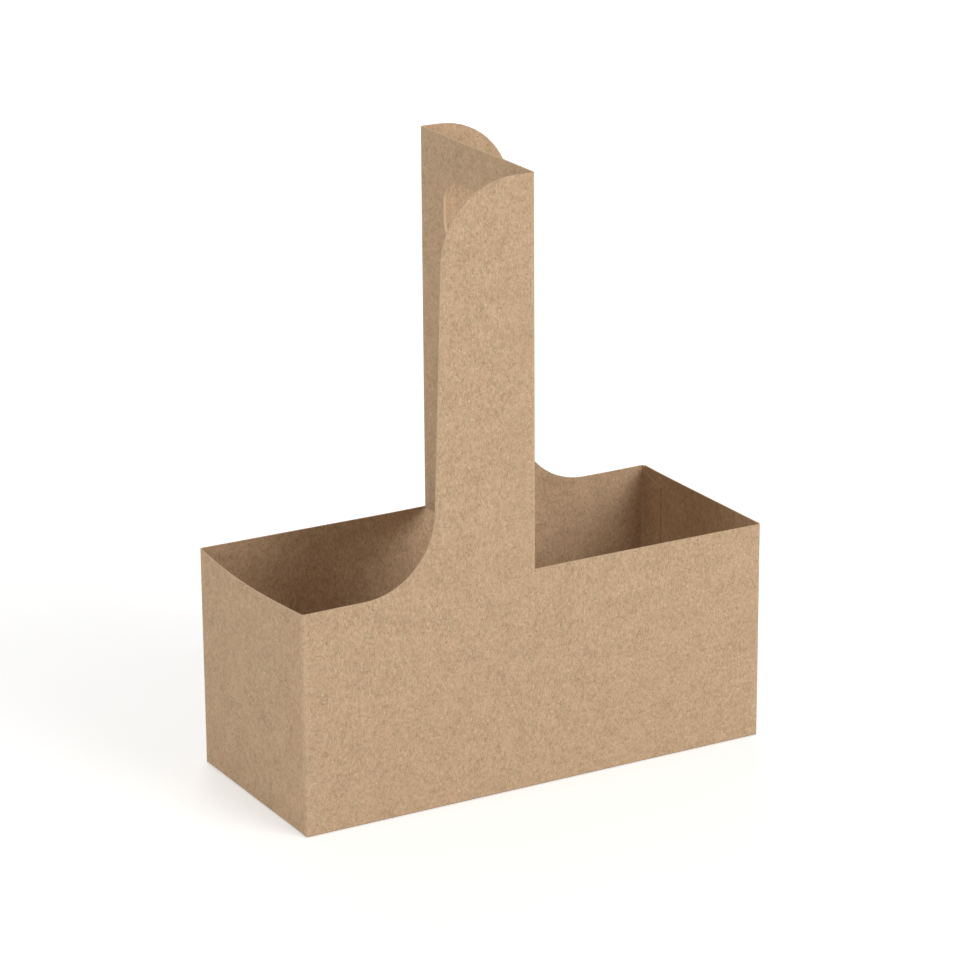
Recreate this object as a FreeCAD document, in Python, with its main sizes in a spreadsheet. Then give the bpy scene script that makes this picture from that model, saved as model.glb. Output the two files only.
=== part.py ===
import FreeCAD, Part
import os
import Sketcher

# Two-cup carrier folded and glued from one die-cut blank of kraft board.
# Frame: X runs along the long walls and Y across them, Z is up. The plane X = 0 is the glue line
# of the handle's cross web, and Z = 0 is the surface that the carrier stands on.

doc = FreeCAD.newDocument("cup_carrier")

SIZES = [
    ("board", 0.5, "thickness of the kraft board"),
    ("left_cell", 101.4, "from the web's glue line to the outside of the left end wall"),
    ("right_cell", 104.6, "from the web's glue line to the outside of the right end wall"),
    ("width", 88.4, "outside, from the front wall to the back wall"),
    ("wall_height", 90.6, "from the table to the top edge of the walls"),
    ("end_bow", 3.2, "how far the left end wall bulges outwards at the middle of its top edge"),
    ("fold_radius", 0.9, "inside radius of a creased fold"),
    ("foot_radius", 0.8, "outside radius of the folds between the walls and the floor flaps"),
    ("handle_height", 248.2, "from the table to the top of the handle"),
    ("strap_top_width", 40.2, "from the glue line to a strap's free edge, below its round corner"),
    ("strap_foot_width", 43.6, "from the glue line to a strap's free edge, above its foot curve"),
    ("top_corner_radius", 31.8, "round outer corner at the top of each strap"),
    ("foot_curve_radius", 31.0, "hollow curve where each strap runs into the wall's top edge"),
    ("hole_width", 50.4, "hand hole in the web, across the carrier"),
    ("hole_height", 25.8, "hand hole in the web, upwards"),
    ("hole_drop", 17.2, "from the top of the web to the top of the hand hole"),
    ("hole_radius", 9.8, "corners of the hand hole"),
    ("glue_flap_width", 14.0, "flap glued inside the right end wall, from the back wall"),
    ("glue_flap_taper", 4.0, "how far the glue flap's ends slope in towards its free edge"),
    ("glue_flap_inset", 2.0, "from the glue flap's ends to the rim and to the floor"),
    ("end_flap_depth", 45.0, "floor flap of an end wall, from the wall's outside inwards"),
    ("end_flap_slope", 16.0, "how far each side of an end flap slopes in towards its free edge"),
    ("end_flap_margin", 2.2, "from an end flap's sides to the outside of the walls"),
    ("end_flap_show", 36.0, "how much of that depth is seen from beneath"),
    ("end_flap_lap", 3.0, "how far the long flaps lie under each sloping side of an end flap"),
    ("lock_overlap", 13.0, "how far each long floor flap reaches past the middle line"),
    ("lock_run", 9.0, "half the length of the slant where the two long flaps cross"),
    ("lock_gap", 0.8, "slit between the cut edges of the two long flaps"),
]

sizes = doc.addObject("Spreadsheet::Sheet", "Sizes")
for row, (alias, number, meaning) in enumerate(SIZES, start=1):
    sizes.set("A%d" % row, alias)
    sizes.set("B%d" % row, str(number))
    sizes.set("C%d" % row, meaning)
    sizes.setAlias("B%d" % row, alias)
doc.recompute()

carrier = doc.addObject("PartDesign::Body", "carrier")
carrier.Label = "carrier"
carrier.Placement = FreeCAD.Placement()

# Places that several panels share, as formulas over the sheet
BOARD = "Sizes.board"
TWO_PLIES = "(2 * Sizes.board)"
THREE_PLIES = "(3 * Sizes.board)"
HALF_WIDTH = "(Sizes.width / 2)"
OUTER_FOLD = "(Sizes.fold_radius + Sizes.board)"


def measure(formula):
    """Number that a formula over the sheet gives."""
    result = sizes.evalExpression(formula)
    return float(getattr(result, "Value", result))


def origin_plane(role):
    """Origin plane of the body, found by its role."""
    return next(item for item in carrier.Origin.OriginFeatures if item.Role == role)


def new_sketch(name, role, lift=None):
    """Empty sketch on an origin plane, or lifted off it along its normal."""
    sketch = carrier.newObject("Sketcher::SketchObject", name)
    sketch.AttachmentSupport = (origin_plane(role), "")
    sketch.MapMode = "FlatFace"
    if lift is not None:
        sketch.setExpression("AttachmentOffset.Base.z", lift)
    return sketch


def dimension(sketch, kind, places, formula):
    """Dimension whose value follows the sheet."""
    index = sketch.addConstraint(Sketcher.Constraint(kind, *places, measure(formula)))
    sketch.setExpression("Constraints[%d]" % index, formula)


def loop(sketch, corners):
    """Closed outline, anticlockwise, through corners given as formulas (across, up, radius).

    The radius belongs to the stretch that starts at the corner, and is None on a straight one.
    """
    first = sketch.GeometryCount
    places = [FreeCAD.Vector(measure(across), measure(up), 0) for across, up, radius in corners]
    for number, (across, up, radius) in enumerate(corners):
        start = places[number]
        stop = places[(number + 1) % len(places)]
        if radius is None:
            sketch.addGeometry(Part.LineSegment(start, stop), False)
            continue
        chord = stop - start
        outwards = FreeCAD.Vector(chord.y, -chord.x, 0).normalize()
        depth = (measure(radius) ** 2 - (chord.Length / 2) ** 2) ** 0.5
        crest = (start + stop) * 0.5 + outwards * (measure(radius) - depth)
        sketch.addGeometry(Part.Arc(start, crest, stop), False)
    for number, (across, up, radius) in enumerate(corners):
        item = first + number
        before = first + (number - 1) % len(corners)
        sketch.addConstraint(Sketcher.Constraint("Coincident", before, 2, item, 1))
        dimension(sketch, "DistanceX", (item, 1), across)
        dimension(sketch, "DistanceY", (item, 1), up)
        if radius is not None:
            dimension(sketch, "Radius", (item,), radius)


def pad(name, sketch, thickness):
    """Board of a given thickness, on the side that the sketch faces."""
    feature = carrier.newObject("PartDesign::Pad", name)
    feature.Profile = sketch
    feature.setExpression("Length", thickness)
    doc.recompute()
    return feature


def groove(name, sketch, depth):
    """Hollow cut from a sketch, away from the side that the sketch faces."""
    feature = carrier.newObject("PartDesign::Pocket", name)
    feature.Profile = sketch
    feature.setExpression("Length", depth)
    doc.recompute()
    return feature


def tray_plan(name, inset, radius, bowed, height=None):
    """Plan of the four walls, set in from their outside, with a straight or a bowed left end."""
    left = "-(Sizes.left_cell - %s)" % inset
    left_fold = "-(Sizes.left_cell - %s - %s)" % (inset, radius)
    right = "Sizes.right_cell - %s" % inset
    right_fold = "Sizes.right_cell - %s - %s" % (inset, radius)
    back = "%s - %s" % (HALF_WIDTH, inset)
    back_fold = "%s - %s - %s" % (HALF_WIDTH, inset, radius)
    front = "-(%s)" % back
    front_fold = "-(%s)" % back_fold
    bow = "((%s)^2 + Sizes.end_bow^2) / (2 * Sizes.end_bow)" % back_fold if bowed else None
    sketch = new_sketch(name, "XY_Plane", height)
    loop(sketch, [
        (left_fold, front, None),
        (right_fold, front, radius),
        (right, front_fold, None),
        (right, back_fold, radius),
        (right_fold, back, None),
        (left_fold, back, radius),
        (left, back_fold, bow),
        (left, front_fold, radius),
    ])
    return sketch


def wall_loft(kind, name, inset, radius):
    """Block from the straight foot of the walls to their rim, whose left end is bowed."""
    foot = tray_plan(name + "_foot", inset, radius, False, TWO_PLIES)
    rim = tray_plan(name + "_rim", inset, radius, True, "Sizes.wall_height")
    feature = carrier.newObject(kind, name)
    feature.Profile = foot
    feature.Sections = [rim]
    feature.Ruled = True
    doc.recompute()


# Floor: the two plies of the long flaps, folded up into the walls all round
floor = pad("floor", tray_plan("floor_plan", "0", OUTER_FOLD, False), TWO_PLIES)
foot_edges = ["Edge%d" % number for number, edge in enumerate(floor.Shape.Edges, start=1)
              if edge.BoundBox.ZMax < measure(BOARD)]
foot_folds = carrier.newObject("PartDesign::Fillet", "foot_folds")
foot_folds.Base = (floor, foot_edges)
foot_folds.setExpression("Radius", "Sizes.foot_radius")
doc.recompute()

# Walls, with a vertical fold at each corner
wall_loft("PartDesign::AdditiveLoft", "walls", "0", OUTER_FOLD)
wall_loft("PartDesign::SubtractiveLoft", "well", BOARD, "Sizes.fold_radius")


def strap_edges(side):
    """Lines and arcs of a strap before they are constrained, from its foot round to its fold."""
    reach = side * measure("Sizes.strap_foot_width + Sizes.foot_curve_radius")
    fold = side * measure("Sizes.fold_radius")
    foot, rim, top = (measure(place) for place in
                      (TWO_PLIES, "Sizes.wall_height", "Sizes.handle_height"))
    low = FreeCAD.Vector(side * measure("Sizes.strap_foot_width"),
                         measure("Sizes.wall_height + Sizes.foot_curve_radius"), 0)
    high = FreeCAD.Vector(side * measure("Sizes.strap_top_width"),
                          measure("Sizes.handle_height - Sizes.top_corner_radius"), 0)
    corners = [FreeCAD.Vector(across, up, 0) for across, up in (
        (fold, foot), (reach, foot), (reach, rim), (low.x, low.y), (high.x, high.y),
        (side * measure("Sizes.strap_top_width - Sizes.top_corner_radius"), top), (fold, top))]
    centres = {2: FreeCAD.Vector(reach, low.y, 0), 4: FreeCAD.Vector(corners[5].x, high.y, 0)}
    edges = []
    for number, start in enumerate(corners):
        stop = corners[(number + 1) % len(corners)]
        if number in centres:
            centre = centres[number]
            spoke = ((start + stop) * 0.5 - centre).normalize() * (start - centre).Length
            edges.append(Part.Arc(start, centre + spoke, stop))
        else:
            edges.append(Part.LineSegment(start, stop))
    return edges


def strap(name, side, lift):
    """Handle strap in the plane of a long wall, up from the floor: side -1 runs to the left."""
    sketch = new_sketch(name + "_outline", "XZ_Plane", lift)
    sketch.addGeometry(strap_edges(side), False)
    base, end, foot_curve, edge, corner, head, crease = range(sketch.GeometryCount)
    low, high = (1, 2) if side < 0 else (2, 1)
    for link in (
        ("Coincident", base, 2, end, 1),
        ("Coincident", end, 2, foot_curve, low),
        ("Tangent", foot_curve, high, edge, 1),
        ("Tangent", edge, 2, corner, high),
        ("Tangent", corner, low, head, 1),
        ("Coincident", head, 2, crease, 1),
        ("Coincident", crease, 2, base, 1),
        ("Horizontal", base),
        ("Vertical", end),
        ("Vertical", foot_curve, 3, foot_curve, low),
        ("Horizontal", head),
        ("Vertical", crease),
    ):
        sketch.addConstraint(Sketcher.Constraint(*link))
    dimension(sketch, "DistanceX", (base, 1), "%d * Sizes.fold_radius" % side)
    dimension(sketch, "DistanceY", (base, 1), TWO_PLIES)
    dimension(sketch, "DistanceY", (end, 2), "Sizes.wall_height")
    dimension(sketch, "DistanceX", (edge, 1), "%d * Sizes.strap_foot_width" % side)
    dimension(sketch, "DistanceX", (edge, 2), "%d * Sizes.strap_top_width" % side)
    dimension(sketch, "Radius", (foot_curve,), "Sizes.foot_curve_radius")
    dimension(sketch, "Radius", (corner,), "Sizes.top_corner_radius")
    dimension(sketch, "DistanceY", (head, 2), "Sizes.handle_height")
    pad(name, sketch, BOARD)


# Straps: the front one stands left of the web, the back one right of it
strap("front_strap", -1, "%s - Sizes.board" % HALF_WIDTH)
strap("back_strap", 1, "-%s" % HALF_WIDTH)

# Web: two plies, one folded in from each strap, glued face to face
web_plan = new_sketch("web_plan", "XY_Plane", "Sizes.wall_height")
loop(web_plan, [
    ("-Sizes.fold_radius", "-" + HALF_WIDTH, OUTER_FOLD),
    (BOARD, "%s - %s" % (OUTER_FOLD, HALF_WIDTH), None),
    (BOARD, "%s - Sizes.board" % HALF_WIDTH, None),
    ("Sizes.fold_radius", "%s - Sizes.board" % HALF_WIDTH, None),
    ("Sizes.fold_radius", HALF_WIDTH, OUTER_FOLD),
    ("-Sizes.board", "%s - %s" % (HALF_WIDTH, OUTER_FOLD), None),
    ("-Sizes.board", "Sizes.board - " + HALF_WIDTH, None),
    ("-Sizes.fold_radius", "Sizes.board - " + HALF_WIDTH, None),
])
pad("web", web_plan, "Sizes.handle_height - Sizes.wall_height")

# Hand hole, through both plies
hole_outline = new_sketch("hand_hole_outline", "YZ_Plane", TWO_PLIES)
HOLE_SIDE = "(Sizes.hole_width / 2)"
HOLE_FLAT = "(Sizes.hole_width / 2 - Sizes.hole_radius)"
HOLE_HIGH = "(Sizes.handle_height - Sizes.hole_drop)"
HOLE_LOW = "(Sizes.handle_height - Sizes.hole_drop - Sizes.hole_height)"
loop(hole_outline, [
    ("-" + HOLE_FLAT, HOLE_LOW, None),
    (HOLE_FLAT, HOLE_LOW, "Sizes.hole_radius"),
    (HOLE_SIDE, HOLE_LOW + " + Sizes.hole_radius", None),
    (HOLE_SIDE, HOLE_HIGH + " - Sizes.hole_radius", "Sizes.hole_radius"),
    (HOLE_FLAT, HOLE_HIGH, None),
    ("-" + HOLE_FLAT, HOLE_HIGH, "Sizes.hole_radius"),
    ("-" + HOLE_SIDE, HOLE_HIGH + " - Sizes.hole_radius", None),
    ("-" + HOLE_SIDE, HOLE_LOW + " + Sizes.hole_radius", "Sizes.hole_radius"),
])
groove("hand_hole", hole_outline, "2 * " + TWO_PLIES)

# Glue flap of the back wall, inside the right end wall, with tapered ends
flap_outline = new_sketch("glue_flap_outline", "YZ_Plane", "Sizes.right_cell - " + TWO_PLIES)
FLAP_ROOT = "(%s - Sizes.board)" % HALF_WIDTH
FLAP_LOW = "(%s + Sizes.glue_flap_inset)" % THREE_PLIES
FLAP_HIGH = "(Sizes.wall_height - Sizes.glue_flap_inset)"
loop(flap_outline, [
    (FLAP_ROOT, FLAP_LOW, None),
    (FLAP_ROOT, FLAP_HIGH, None),
    (FLAP_ROOT + " - Sizes.glue_flap_width", FLAP_HIGH + " - Sizes.glue_flap_taper", None),
    (FLAP_ROOT + " - Sizes.glue_flap_width", FLAP_LOW + " + Sizes.glue_flap_taper", None),
])
pad("glue_flap", flap_outline, BOARD)


def end_flap_plan(name, side, cell, start, depth, lap="0", lift=None):
    """Plan of an end wall's floor flap, from a line near the wall to one further in."""
    wide = "(%s - Sizes.end_flap_margin - %s)" % (HALF_WIDTH, lap)
    narrow = "(%s - Sizes.end_flap_slope * %s / Sizes.end_flap_depth)" % (wide, depth)
    outer = "%d * (%s - %s)" % (side, cell, start)
    inner = "%d * (%s - %s)" % (side, cell, depth)
    corners = [(inner, "-" + narrow), (outer, "-" + wide), (outer, wide), (inner, narrow)]
    if side < 0:
        corners.reverse()
    sketch = new_sketch(name, "XY_Plane", lift)
    loop(sketch, [(across, up, None) for across, up in corners])
    return sketch


def underside(name, sketch):
    """Hollow one board deep, cut upwards into the underside."""
    groove(name, sketch, BOARD).Reversed = True
    doc.recompute()


# Floor flaps of the end walls: each lies on the long flaps, and shows beneath where they stop short
for side, end, cell in ((-1, "left", "Sizes.left_cell"), (1, "right", "Sizes.right_cell")):
    flap = end_flap_plan(
        end + "_flap_plan", side, cell, BOARD, "Sizes.end_flap_depth", lift=TWO_PLIES)
    pad(end + "_end_flap", flap, BOARD)
    window = end_flap_plan(
        end + "_window_plan", side, cell, "Sizes.end_flap_margin", "Sizes.end_flap_show",
        "Sizes.end_flap_lap")
    underside(end + "_flap_window", window)

# Slit where the long flaps lock: each lies outside over one half of the floor
lock = new_sketch("lock_outline", "XY_Plane")
HALF_GAP = "Sizes.lock_gap / 2"
LOCK_LEFT = "-(Sizes.left_cell - Sizes.end_flap_show + Sizes.lock_gap)"
LOCK_RIGHT = "Sizes.right_cell - Sizes.end_flap_show + Sizes.lock_gap"
loop(lock, [
    (LOCK_LEFT, "Sizes.lock_overlap - " + HALF_GAP, None),
    ("-Sizes.lock_run - " + HALF_GAP, "Sizes.lock_overlap - " + HALF_GAP, None),
    ("Sizes.lock_run - " + HALF_GAP, "-Sizes.lock_overlap - " + HALF_GAP, None),
    (LOCK_RIGHT, "-Sizes.lock_overlap - " + HALF_GAP, None),
    (LOCK_RIGHT, "-Sizes.lock_overlap + " + HALF_GAP, None),
    ("Sizes.lock_run + " + HALF_GAP, "-Sizes.lock_overlap + " + HALF_GAP, None),
    ("-Sizes.lock_run + " + HALF_GAP, "Sizes.lock_overlap + " + HALF_GAP, None),
    (LOCK_LEFT, "Sizes.lock_overlap + " + HALF_GAP, None),
])
underside("lock_slit", lock)


doc.recompute()
for item in doc.Objects:
    if "Invalid" in item.State or "Error" in item.State:
        raise RuntimeError("%s was not built" % item.Name)
shape = carrier.Shape
if shape.isNull() or not shape.isValid() or len(shape.Solids) != 1:
    raise RuntimeError("the carrier is not one valid solid")
os.makedirs("parts", exist_ok=True)
shape.exportStep("parts/%s.step" % carrier.Label)
print("carrier: %.1f cubic mm, %d faces" % (shape.Volume, len(shape.Faces)))
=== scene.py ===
import bmesh
import bpy
import math
from mathutils import Matrix, Vector, noise


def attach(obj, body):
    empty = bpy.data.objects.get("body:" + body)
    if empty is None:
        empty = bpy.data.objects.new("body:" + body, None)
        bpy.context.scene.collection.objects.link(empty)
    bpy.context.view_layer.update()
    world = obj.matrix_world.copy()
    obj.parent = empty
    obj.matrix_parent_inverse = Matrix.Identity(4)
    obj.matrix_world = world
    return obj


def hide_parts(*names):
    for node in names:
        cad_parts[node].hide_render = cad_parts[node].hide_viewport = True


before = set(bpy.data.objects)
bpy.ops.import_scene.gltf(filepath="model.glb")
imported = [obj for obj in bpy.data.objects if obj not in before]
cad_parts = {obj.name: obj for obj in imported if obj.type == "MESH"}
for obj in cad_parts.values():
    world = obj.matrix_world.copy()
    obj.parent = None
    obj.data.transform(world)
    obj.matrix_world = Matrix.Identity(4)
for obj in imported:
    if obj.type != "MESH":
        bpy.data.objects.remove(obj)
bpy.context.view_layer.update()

# Lengths are in millimetres. NEAR is the slack of a comparison, BOARD one ply of the glued board.
MM, NEAR, BOARD = 0.001, 0.01, 0.5

# Tray walls: the band of the die-cut kraft blank that is creased at four corners into a tray.
# It runs from the free edge of the right end wall round to the glue flap of the back wall,
# which is glued inside that end wall. The left end wall bulges a little at its top edge.
LEFT, RIGHT, SIDE = -101.4, 104.6, 44.2
WALL_TOP, FOLD, FOOT_FOLD, CORNER_FOOT = 90.6, 1.4, 0.8, 0.2
STRAP_REACH, STRAP_FOLD, FREE_EDGE = 74.6, 0.9, 0.9
GLUE_FLAP, GLUE_HALF, GLUE_TAPER = 14.0, 42.5, 4.0
END_BOW, BOW_FOOT = 3.2, 1.0
WALL_STEP, STRAP_STEP, GLUE_STEP, EDGE_STEP, CORNER_STEPS = 5.0, 4.0, 3.0, 0.9, 4
FIRST_ROW, WALL_ROWS = 1.7, 18

sheet = bmesh.new()
crease = sheet.verts.layers.float.new("crease")


def only(items, kind):
    """Items of one kind, such as the edges among what an operator gives back."""
    return [item for item in items if isinstance(item, kind)]


def run(point, x, y, step):
    """Straight stretch of a plan line, with a short step next to each end; gives its last point."""
    start, stop = point.co.copy(), Vector((x * MM, y * MM, point.co.z))
    length = (stop - start).length / MM
    inner = length - 2 * EDGE_STEP
    count = max(round(inner / step), 1)
    reaches = [EDGE_STEP + inner * number / count for number in range(count + 1)] + [length]
    for reach in reaches:
        point = bmesh.ops.extrude_vert_indiv(sheet, verts=[point])["verts"][0]
        point.co = start.lerp(stop, reach / length)
        point[crease] = 0.0
    return point


def fold(point, x, y, degrees):
    """Rounded crease of a plan line about an upright axis; gives its last point."""
    before = set(sheet.verts) - {point}
    last = bmesh.ops.spin(
        sheet, geom=[point], cent=(x * MM, y * MM, point.co.z), axis=(0, 0, 1), dvec=(0, 0, 0),
        angle=math.radians(degrees), steps=CORNER_STEPS)["geom_last"]
    for vert in set(sheet.verts) - before:
        vert[crease] = 1.0
    return only(last, bmesh.types.BMVert)[0]


def grow(edges, vector=(0, 0, 0)):
    """Next row of the sheet along an edge of it; gives the row's points and edges."""
    made = bmesh.ops.extrude_edge_only(sheet, edges=edges)["geom"]
    points = only(made, bmesh.types.BMVert)
    bmesh.ops.translate(sheet, verts=points, vec=Vector(vector) * MM)
    ends = set(points)
    return points, [edge for edge in only(made, bmesh.types.BMEdge) if ends.issuperset(edge.verts)]


def within(edges, low, high):
    """Edges that lie between two corners."""
    return [edge for edge in edges if all(
        low[axis] - NEAR < vert.co[axis] / MM < high[axis] + NEAR
        for vert in edge.verts for axis in range(3))]


start = Vector((RIGHT, SIDE - FREE_EDGE, FOOT_FOLD)) * MM
point = bmesh.ops.create_vert(sheet, co=start)["vert"][0]
point = run(point, RIGHT, FOLD - SIDE, WALL_STEP)
point = fold(point, RIGHT - FOLD, FOLD - SIDE, -90)
point = run(point, -STRAP_FOLD, -SIDE, WALL_STEP)
point = run(point, -STRAP_REACH, -SIDE, STRAP_STEP)
point = run(point, LEFT + FOLD, -SIDE, WALL_STEP)
point = fold(point, LEFT + FOLD, FOLD - SIDE, -90)
point = run(point, LEFT, SIDE - FOLD, WALL_STEP)
point = fold(point, LEFT + FOLD, SIDE - FOLD, -90)
point = run(point, STRAP_FOLD, SIDE, WALL_STEP)
point = run(point, STRAP_REACH, SIDE, STRAP_STEP)
point = run(point, RIGHT - BOARD - FOLD, SIDE, WALL_STEP)
point = fold(point, RIGHT - BOARD - FOLD, SIDE - FOLD, -90)
run(point, RIGHT - BOARD, SIDE - BOARD - GLUE_FLAP, GLUE_STEP)

foot_line = list(sheet.edges)
rim, height = foot_line, FOOT_FOLD
for number in range(WALL_ROWS + 1):
    level = FIRST_ROW + (WALL_TOP - FIRST_ROW) * number / WALL_ROWS
    points, rim = grow(rim, (0, 0, level - height))
    height = level
for vert in {vert for edge in foot_line for vert in edge.verts}:
    if SIDE - FOLD - NEAR < abs(vert.co.y) / MM < SIDE - NEAR:
        vert.co.z = CORNER_FOOT * MM
for vert in sheet.verts:
    x, y, z = vert.co / MM
    if x < LEFT + NEAR:
        across = min(abs(y) / (SIDE - FOLD), 1.0)
        risen = (z - BOW_FOOT) / (WALL_TOP - BOW_FOOT)
        vert.co.x -= END_BOW * MM * risen * (1.0 - across ** 2)
    elif abs(x - RIGHT + BOARD) < NEAR and y < SIDE - FOLD - NEAR:
        free = (SIDE - FOLD - y) / GLUE_FLAP
        middle = (WALL_TOP + FOOT_FOLD) / 2
        squeeze = (GLUE_HALF - GLUE_TAPER * free) / (middle - FOOT_FOLD)
        vert.co.z = (middle + (z - middle) * squeeze) * MM

# Handle: a strap rises from each long wall, and each strap's inner edge is creased and turned in.
# The two turned plies are glued face to face into a web that runs across the carrier.
# The straps taper a little, end in a round corner, and run into the wall in a hollow curve.
HANDLE_TOP, STRAP_FOOT, STRAP_HEAD = 248.18, 43.6, 40.2
FOOT_CURVE, TOP_CORNER, WEB_GAP = 31.0, 31.8, 0.6
STRAIGHT = HANDLE_TOP - TOP_CORNER - WALL_TOP - FOOT_CURVE
ARC_STEP, STRAP_ROWS = 6, 16

turns = [math.radians(degrees) for degrees in range(ARC_STEP, 91, ARC_STEP)]
outline = [(WALL_TOP + FOOT_CURVE * (1 - math.cos(turn)),
            STRAP_REACH - FOOT_CURVE * math.sin(turn)) for turn in turns]
outline += [(WALL_TOP + FOOT_CURVE + STRAIGHT * number / STRAP_ROWS,
             STRAP_FOOT + (STRAP_HEAD - STRAP_FOOT) * number / STRAP_ROWS)
            for number in range(1, STRAP_ROWS + 1)]
outline += [(HANDLE_TOP - TOP_CORNER * (1 - math.sin(turn)),
             STRAP_HEAD - TOP_CORNER * (1 - math.cos(turn))) for turn in turns]

for side in (-1, 1):
    low, high = sorted((side * STRAP_REACH, side * STRAP_FOLD))
    strap_foot = within(rim, (low, side * SIDE, WALL_TOP), (high, side * SIDE, WALL_TOP))
    inner = min((vert for edge in strap_foot for vert in edge.verts), key=lambda v: abs(v.co.x))
    known = set(sheet.edges)
    point = fold(inner, side * STRAP_FOLD, side * (SIDE - FOLD), 90)
    run(point, -side * BOARD, -side * (SIDE - WEB_GAP), WALL_STEP)
    row = strap_foot + [edge for edge in sheet.edges if edge not in known]
    height, reach = WALL_TOP, STRAP_REACH
    for level, width in outline:
        points, row = grow(row, (0, 0, level - height))
        squeeze = (width - STRAP_FOLD) / (reach - STRAP_FOLD)
        for vert in points:
            beyond = side * vert.co.x / MM - STRAP_FOLD
            if beyond > NEAR:
                vert.co.x = side * (STRAP_FOLD + beyond * squeeze) * MM
        height, reach = level, width

# Hand hole: a round-cornered slot die-cut through both plies of the web, just below its top.
# The web's faces are cleared round it, and the ring between them and its edge is filled again.
HOLE_WIDTH, HOLE_HEIGHT, HOLE_DROP, HOLE_CORNER = 50.4, 25.8, 17.2, 9.8
HOLE_MIDDLE = HANDLE_TOP - HOLE_DROP - HOLE_HEIGHT / 2
CLEARED, SEARCHED = 3.0, 8.0
ROUND_STEPS, LONG_EDGE, LONG_CUTS = 9, 3.0, 4

for ply in (-BOARD, BOARD):
    cleared = []
    for face in sheet.faces:
        x, y, z = face.calc_center_median() / MM
        if (abs(x - ply) < NEAR and abs(y) < HOLE_WIDTH / 2 + CLEARED
                and abs(z - HOLE_MIDDLE) < HOLE_HEIGHT / 2 + CLEARED):
            cleared.append(face)
    bmesh.ops.delete(sheet, geom=cleared, context="FACES")
    reach_y, reach_z = HOLE_WIDTH / 2 + SEARCHED, HOLE_HEIGHT / 2 + SEARCHED
    around = [edge for edge in within(
        sheet.edges, (ply, -reach_y, HOLE_MIDDLE - reach_z),
        (ply, reach_y, HOLE_MIDDLE + reach_z)) if len(edge.link_faces) == 1]
    unit_square = (Matrix.Translation(Vector((ply, 0, HOLE_MIDDLE)) * MM)
                   @ Matrix.Rotation(math.radians(90), 4, "Y")
                   @ Matrix.Diagonal((HOLE_HEIGHT * MM, HOLE_WIDTH * MM, 1, 1)))
    corners = bmesh.ops.create_grid(
        sheet, x_segments=1, y_segments=1, size=0.5, matrix=unit_square)["verts"]
    rounded = bmesh.ops.bevel(
        sheet, geom=corners, offset=HOLE_CORNER * MM, offset_type="OFFSET",
        segments=ROUND_STEPS, profile=0.5, affect="VERTICES", material=-1)
    plug = rounded["verts"][0].link_faces[0]
    long_edges = [edge for edge in plug.edges if edge.calc_length() > LONG_EDGE * MM]
    bmesh.ops.subdivide_edges(sheet, edges=long_edges, cuts=LONG_CUTS)
    hole = list(plug.edges)
    bmesh.ops.delete(sheet, geom=[plug], context="FACES_ONLY")
    bmesh.ops.triangle_fill(sheet, edges=around + hole, use_beauty=True)

# Floor: the flaps creased in from the foot of the walls. The end walls' flaps lie inside, and the
# two long ones hook over each other along a slanted line in the middle and lock without glue.
# A row of a flap is a depth from the wall's outside, with its inset at both ends or its lift.
LOCK_OVERLAP, LOCK_RUN, LOCK_GAP, LOCK_SLIT = 13.0, 9.0, 0.3, 0.1
SLIT_REACH, TUCK_START, TUCK_LIFT = 6.0, 7.0, 0.52
LOCK_ROWS, TUCK_ROWS, FOOT_STEPS = 4, 3, 3
FLAP_MARGIN, FLAP_SHOW, LONG_FLAT = 2.2, 36.0, 18.0
LONG_FLAP = ((3.0, FLAP_MARGIN), (6.0, FLAP_MARGIN), (12.0, (FLAP_MARGIN + FLAP_SHOW) / 2),
             (LONG_FLAT, FLAP_SHOW))
END_CREASE, END_NECK, NECK_DEPTH, END_SLOPE, END_DEPTH = 42.5, 37.0, 5.0, 16.0, 45.0
END_FLAP = ((1.6, 0.05), (3.0, 0.15), (7.0, 0.5), (14.0, 0.55), (24.0, 0.62), (34.0, 0.98),
            (36.0, 1.04), (END_DEPTH, 1.06))


def foot_fold(edges, centre, axis, degrees):
    """Crease that turns a stretch of the walls' foot in under the tray; gives its last edges."""
    before = set(sheet.verts) - {vert for edge in edges for vert in edge.verts}
    geometry = edges + list({vert for edge in edges for vert in edge.verts})
    last = bmesh.ops.spin(
        sheet, geom=geometry, cent=Vector(centre) * MM, axis=axis, dvec=(0, 0, 0),
        angle=math.radians(degrees), steps=FOOT_STEPS)["geom_last"]
    for vert in set(sheet.verts) - before:
        vert[crease] = 1.0
    return only(last, bmesh.types.BMEdge)


def half_wide(depth):
    """Half the width of an end flap at a depth: a neck at the crease, then a taper."""
    if depth < NECK_DEPTH:
        return END_NECK
    return SIDE - FLAP_MARGIN - END_SLOPE * depth / END_DEPTH


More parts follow.
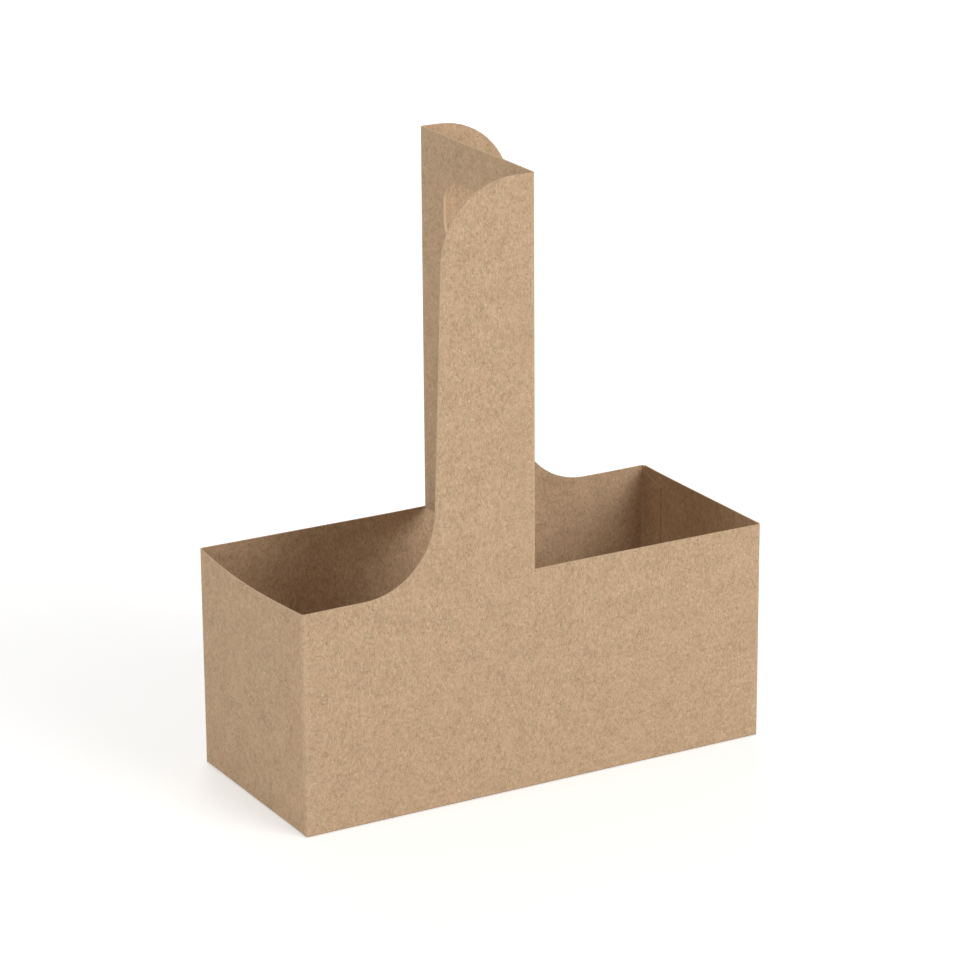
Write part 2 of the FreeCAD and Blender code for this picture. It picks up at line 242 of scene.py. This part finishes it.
for side in (-1, 1):
    row = foot_fold(
        within(foot_line, (LEFT + FOLD, side * SIDE, 0), (RIGHT - FOLD, side * SIDE, 1)),
        (0, side * (SIDE - FOOT_FOLD), FOOT_FOLD), (1, 0, 0), -side * 90)
    left, right = LEFT + FOLD, RIGHT - FOLD
    for depth, inset in LONG_FLAP:
        points, row = grow(row)
        for vert in points:
            share = (vert.co.x / MM - left) / (right - left)
            x = LEFT + inset + (RIGHT - LEFT - 2 * inset) * share
            vert.co = Vector((x, side * (SIDE - depth), 0)) * MM
            vert[crease] = 0.0
        left, right = LEFT + inset, RIGHT - inset
    begin = side * (SIDE - LONG_FLAT)
    for number in range(1, LOCK_ROWS + 1):
        points, row = grow(row)
        for vert in points:
            x = vert.co.x / MM
            gap = LOCK_SLIT if abs(x) < SLIT_REACH else LOCK_GAP
            line = max(-1.0, min(1.0, -x / LOCK_RUN)) * LOCK_OVERLAP + side * gap / 2
            lifted = number == LOCK_ROWS and -side * x > SLIT_REACH
            vert.co.y = (begin + (line - begin) * number / LOCK_ROWS) * MM
            vert.co.z = TUCK_LIFT * MM if lifted else 0.0
    tucked = [edge for edge in row
              if all(-side * vert.co.x / MM > TUCK_START for vert in edge.verts)]
    tuck_step = (2 * LOCK_OVERLAP - LOCK_GAP) / TUCK_ROWS
    for number in range(TUCK_ROWS):
        points, tucked = grow(tucked, (0, -side * tuck_step, 0))

for side, end in ((-1, LEFT), (1, RIGHT)):
    row = foot_fold(
        within(foot_line, (end, -END_CREASE, 0), (end, END_CREASE, 1)),
        (end - side * FOOT_FOLD, 0, FOOT_FOLD), (0, 1, 0), side * 90)
    across = max(vert.co.y for edge in row for vert in edge.verts) / MM
    for depth, lift in END_FLAP:
        points, row = grow(row)
        for vert in points:
            share = vert.co.y / MM / across
            vert.co = Vector((end - side * depth, half_wide(depth) * share, lift)) * MM
            vert[crease] = 0.0
        across = half_wide(depth)

# The folded sheet as a whole: 350 g kraft board, about half a millimetre thick. Its panels stay
# flat at the creases and give by a few tenths of a millimetre between them, as thin board does.
# Each give is how far a panel yields on average and also how much that wanders over a wave.
PLY = 0.48
FACING, CREASE_REACH, STRAP_CLEAR, WEB_ZONE = 0.9, 16.0, 8.0, 50.0
LONG_GIVE, LONG_WAVE, LONG_WAVE_UP = 0.25, 55.0, 70.0
END_GIVE, WEB_GIVE, END_WAVE, END_WAVE_UP = 0.2, 0.35, 45.0, 60.0
WALL_PLACE, WEB_PLACE = 4.0, 9.0
SHARP_ANGLE = 40


def fade(distance):
    """Rises smoothly from 0 at a crease to 1 some way off it."""
    share = max(0.0, min(1.0, distance / CREASE_REACH))
    return share * share * (3 - 2 * share)


bmesh.ops.recalc_face_normals(sheet, faces=list(sheet.faces))
sheet.normal_update()
for vert in sheet.verts:
    x, y, z = vert.co / MM
    if abs(vert.normal.y) > FACING:
        slack = fade(x - LEFT) * fade(RIGHT - x) * fade(z)
        if z > WALL_TOP - STRAP_CLEAR:
            slack *= fade(abs(x))
        sway = noise.noise(Vector((x / LONG_WAVE, WALL_PLACE * vert.normal.y, z / LONG_WAVE_UP)))
        give = (LONG_GIVE + LONG_GIVE * sway) * slack
        vert.co.y -= math.copysign(give, vert.normal.y) * MM
    elif abs(vert.normal.x) > FACING and abs(x) > WEB_ZONE:
        slack = fade(SIDE - abs(y)) * fade(z)
        sway = noise.noise(Vector((WALL_PLACE * vert.normal.x, y / END_WAVE, z / END_WAVE_UP)))
        give = (END_GIVE + END_GIVE * sway) * slack
        vert.co.x -= math.copysign(give, vert.normal.x) * MM
    elif abs(vert.normal.x) > FACING:
        sway = noise.noise(Vector((WEB_PLACE, y / END_WAVE, z / END_WAVE_UP)))
        vert.co.x += WEB_GIVE * sway * fade(SIDE - abs(y)) * MM

carrier = bpy.data.objects.new("folded_kraft_board", bpy.data.meshes.new("folded_kraft_board"))
bpy.context.scene.collection.objects.link(carrier)
sheet.to_mesh(carrier.data)
sheet.free()
thickness = carrier.modifiers.new("board thickness", "SOLIDIFY")
thickness.thickness = PLY * MM
thickness.offset = -1
thickness.use_even_offset = True
thickness.material_offset_rim = 1
carrier.data.materials.append(bpy.data.materials.new("kraft_paperboard_face"))
carrier.data.materials.append(bpy.data.materials.new("kraft_paperboard_cut_edge"))
graph = bpy.context.evaluated_depsgraph_get()
board = bpy.data.meshes.new_from_object(carrier.evaluated_get(graph))
carrier.modifiers.clear()
carrier.data = board
board.shade_smooth()
board.set_sharp_from_angle(angle=math.radians(SHARP_ANGLE))


def linear(code):
    """Scene-linear colour of an sRGB hex value."""
    channels = [int(code[place:place + 2], 16) / 255 for place in (1, 3, 5)]
    return [value / 12.92 if value <= 0.04045 else ((value + 0.055) / 1.055) ** 2.4
            for value in channels] + [1.0]


def add(tree, kind, values, links, **settings):
    """Node with its settings, its sockets' values and the sockets that feed it."""
    node = tree.nodes.new("ShaderNode" + kind)
    for name, value in settings.items():
        setattr(node, name, value)
    for socket, value in values.items():
        node.inputs[socket].default_value = value
    for socket, source in links.items():
        tree.links.new(source, node.inputs[socket])
    return node


def ramp(tree, source, low, low_code, high, high_code):
    """Colour that goes from one tone to another between two values of a pattern."""
    node = add(tree, "ValToRGB", {}, {"Fac": source})
    for element, position, code in zip(
            node.color_ramp.elements, (low, high), (low_code, high_code)):
        element.position = position
        element.color = linear(code)
    return node.outputs["Color"]


def finish(tree, colour, pattern, roughness, specular, bump, height):
    """Matt finish of a board surface, with a fine relief that follows a pattern."""
    relief = add(tree, "Bump", {"Strength": bump, "Distance": height * MM}, {"Height": pattern})
    shader = tree.nodes["Principled BSDF"]
    shader.inputs["Roughness"].default_value = roughness
    shader.inputs["IOR"].default_value = 1.45
    shader.inputs["Specular IOR Level"].default_value = specular
    tree.links.new(colour, shader.inputs["Base Color"])
    tree.links.new(relief.outputs["Normal"], shader.inputs["Normal"])


# Unbleached kraft paperboard, machine finished and uncoated: matt, warm brown, with clouds of
# pulp, short fibres that mostly run up the walls, and dark and pale specks of bark and filler.
# The score lines look paler, because the fibres stand up there.
CLOUD, FLOC, DRIFT, GRAIN, FIBRE, FIBRE_LENGTH, SPECK = 9.0, 2.2, 4.5, 0.6, 0.42, 1.3, 1.9
FLOC_SHARE, GRAIN_SHARE, FIBRE_SHARE, LEVEL_SHARE = 0.7, 0.4, 0.4, 0.2
PINK_SHARE, BARK_SHARE, FILLER_SHARE, SCORE_SHARE = 0.16, 0.45, 0.5, 0.12
BARK_BELOW, FILLER_ABOVE, SPECK_RIM, SPECK_CORE = 0.3, 0.82, 0.24, 0.12
TONE_LOW, TONE_HIGH, DRIFT_LOW, DRIFT_HIGH = 0.36, 0.64, 0.4, 0.6
TO_MM = 1000
ALONG = TO_MM * FIBRE / FIBRE_LENGTH

board.materials[0].use_nodes = True
tree = board.materials[0].node_tree
place = add(tree, "TexCoord", {}, {}).outputs["Object"]


def scaled(x, y, z):
    """Object coordinates in millimetres, drawn out along some axes."""
    return add(tree, "Mapping", {"Scale": (x, y, z)}, {"Vector": place}).outputs[0]


def speckle(size, vector, detail, roughness=0.5):
    """Noise pattern whose features have about a given size."""
    return add(tree, "TexNoise", {"Scale": 1 / size, "Detail": detail, "Roughness": roughness},
               {"Vector": vector}).outputs["Fac"]


def blend(first, second, share):
    """Two patterns mixed in a fixed share."""
    return add(tree, "Mix", {"Factor": share}, {"A": first, "B": second}).outputs["Result"]


def calculate(operation, source, value):
    """Result of an operation on a socket and a number."""
    return add(tree, "Math", {1: value}, {0: source}, operation=operation).outputs[0]


def coat(under, share, code):
    """Colour laid over another in a share that varies."""
    return add(tree, "Mix", {"B": linear(code)}, {"Factor": share, "A": under},
               data_type="RGBA").outputs["Result"]


flat = scaled(TO_MM, TO_MM, TO_MM)
pulp = blend(speckle(CLOUD, flat, detail=3.0), speckle(FLOC, flat, detail=4.0, roughness=0.7),
             FLOC_SHARE)
grain = speckle(GRAIN, flat, detail=2.0, roughness=0.6)
fibres = blend(speckle(FIBRE, scaled(TO_MM, TO_MM, ALONG), detail=1.0),
               speckle(FIBRE, scaled(ALONG, ALONG, TO_MM), detail=1.0), LEVEL_SHARE)
pattern = blend(blend(pulp, grain, GRAIN_SHARE), fibres, FIBRE_SHARE)
tone = ramp(tree, pattern, TONE_LOW, "#A18567", TONE_HIGH, "#D8BC9B")
pinkish = add(
    tree, "MapRange",
    {"From Min": DRIFT_LOW, "From Max": DRIFT_HIGH, "To Min": 0.0, "To Max": PINK_SHARE},
    {"Value": speckle(DRIFT, flat, detail=2.0)}).outputs["Result"]
specks = add(
    tree, "TexVoronoi", {"Scale": 1 / SPECK, "Randomness": 1.0}, {"Vector": flat})
cell = add(tree, "SeparateColor", {}, {"Color": specks.outputs["Color"]}).outputs["Red"]
dot = add(
    tree, "MapRange",
    {"From Min": SPECK_RIM, "From Max": SPECK_CORE, "To Min": 0.0, "To Max": 1.0},
    {"Value": specks.outputs["Distance"]}).outputs["Result"]
shown = []
for operation, limit, share in (
        ("LESS_THAN", BARK_BELOW, BARK_SHARE), ("GREATER_THAN", FILLER_ABOVE, FILLER_SHARE)):
    chosen = calculate(operation, cell, limit)
    dots = add(tree, "Math", {}, {0: dot, 1: chosen}, operation="MULTIPLY").outputs[0]
    shown.append(calculate("MULTIPLY", dots, share))
score = add(tree, "Attribute", {}, {}, attribute_name="crease").outputs["Fac"]
tinted = coat(tone, pinkish, "#D3A587")
barked = coat(tinted, shown[0], "#7C5F42")
filled = coat(barked, shown[1], "#E9D3B4")
scored = coat(filled, calculate("MULTIPLY", score, SCORE_SHARE), "#DCC2A2")
finish(tree, scored, pattern, roughness=0.88, specular=0.15, bump=0.35, height=0.06)

# Cut edge of the same board: the steel rule leaves the inner plies bare, so it is paler and has
# no finish, and is finely uneven where the fibres were cut.
FIBRE_ENDS = 0.12

board.materials[1].use_nodes = True
tree = board.materials[1].node_tree
place = add(tree, "TexCoord", {}, {}).outputs["Object"]
ends = speckle(FIBRE_ENDS, scaled(TO_MM, TO_MM, TO_MM), detail=2.0)
bare = ramp(tree, ends, 0.3, "#C3A27D", 0.7, "#E2C8A6")
finish(tree, bare, ends, roughness=0.95, specular=0.2, bump=0.5, height=0.05)

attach(carrier, "root")
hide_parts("carrier")

# Studio: a pale floor that meets a white surround, soft light from the front right, the left and
# the back, and the camera at the photograph's place. The floor lies just under the flaps, and
# its glow and the surround's full white show only to the camera.
FLOOR_DROP, FLOOR_HALF, FLOOR_GLOW, SURROUND = 0.2, 6.0, 0.44, 0.38
FOCAL, SENSOR, CLIP = 145.9, 36.0, (0.1, 20.0)
CAMERA_PLACE, HEADING, TILT, ROLL = (-0.7156, -1.2666, 0.5993), -29.49, 71.56, -0.40

ground = bmesh.new()
bmesh.ops.create_grid(
    ground, x_segments=1, y_segments=1, size=FLOOR_HALF,
    matrix=Matrix.Translation((0, 0, -FLOOR_DROP * MM)))
floor = bpy.data.objects.new("floor", bpy.data.meshes.new("floor"))
bpy.context.scene.collection.objects.link(floor)
ground.to_mesh(floor.data)
ground.free()
paper = bpy.data.materials.new("white_studio_paper")
floor.data.materials.append(paper)
paper.use_nodes = True
tree = paper.node_tree
matt = tree.nodes["Principled BSDF"]
matt.inputs["Base Color"].default_value = linear("#E6E6E4")
matt.inputs["Roughness"].default_value = 0.9
rays = add(tree, "LightPath", {}, {})
seen = calculate("MULTIPLY", rays.outputs["Is Camera Ray"], FLOOR_GLOW)
glow = add(tree, "Emission", {"Color": linear("#FFFFFF")}, {"Strength": seen})
both = add(tree, "AddShader", {}, {0: matt.outputs[0], 1: glow.outputs[0]})
tree.links.new(both.outputs[0], tree.nodes["Material Output"].inputs["Surface"])

world = bpy.data.worlds.new("studio")
bpy.context.scene.world = world
world.use_nodes = True
tree = world.node_tree
rays = add(tree, "LightPath", {}, {})
white = add(
    tree, "MapRange", {"To Min": SURROUND, "To Max": 1.0},
    {"Value": rays.outputs["Is Camera Ray"]})
tree.nodes["Background"].inputs["Color"].default_value = linear("#FFFFFF")
tree.links.new(white.outputs["Result"], tree.nodes["Background"].inputs["Strength"])


def softbox(name, stand, aim, size, power):
    """Large soft lamp on a stand, turned towards a point of the object."""
    lamp = bpy.data.lights.new(name, "AREA")
    lamp.shape = "SQUARE"
    lamp.size = size
    lamp.energy = power
    holder = bpy.data.objects.new(name, lamp)
    bpy.context.scene.collection.objects.link(holder)
    holder.location = stand
    holder.rotation_euler = (Vector(aim) - Vector(stand)).to_track_quat("-Z", "Y").to_euler()


softbox("front softbox", (0.9, -1.9, 1.1), (0, 0, 0.1), size=1.5, power=33.0)
softbox("left softbox", (-1.4, -0.2, 0.4), (-0.1, 0, 0.06), size=0.8, power=6.6)
softbox("back softbox", (0.7, 1.9, 1.0), (0, 0, 0.1), size=1.5, power=18.0)

lens = bpy.data.cameras.new("camera")
lens.sensor_width, lens.lens = SENSOR, FOCAL
lens.clip_start, lens.clip_end = CLIP
camera = bpy.data.objects.new("camera", lens)
bpy.context.scene.collection.objects.link(camera)
camera.matrix_world = (Matrix.Translation(CAMERA_PLACE)
                       @ Matrix.Rotation(math.radians(HEADING), 4, "Z")
                       @ Matrix.Rotation(math.radians(TILT), 4, "X")
                       @ Matrix.Rotation(math.radians(ROLL), 4, "Z"))
bpy.context.scene.camera = camera
bpy.context.scene.view_settings.view_transform = "Standard"

bpy.context.view_layer.update()
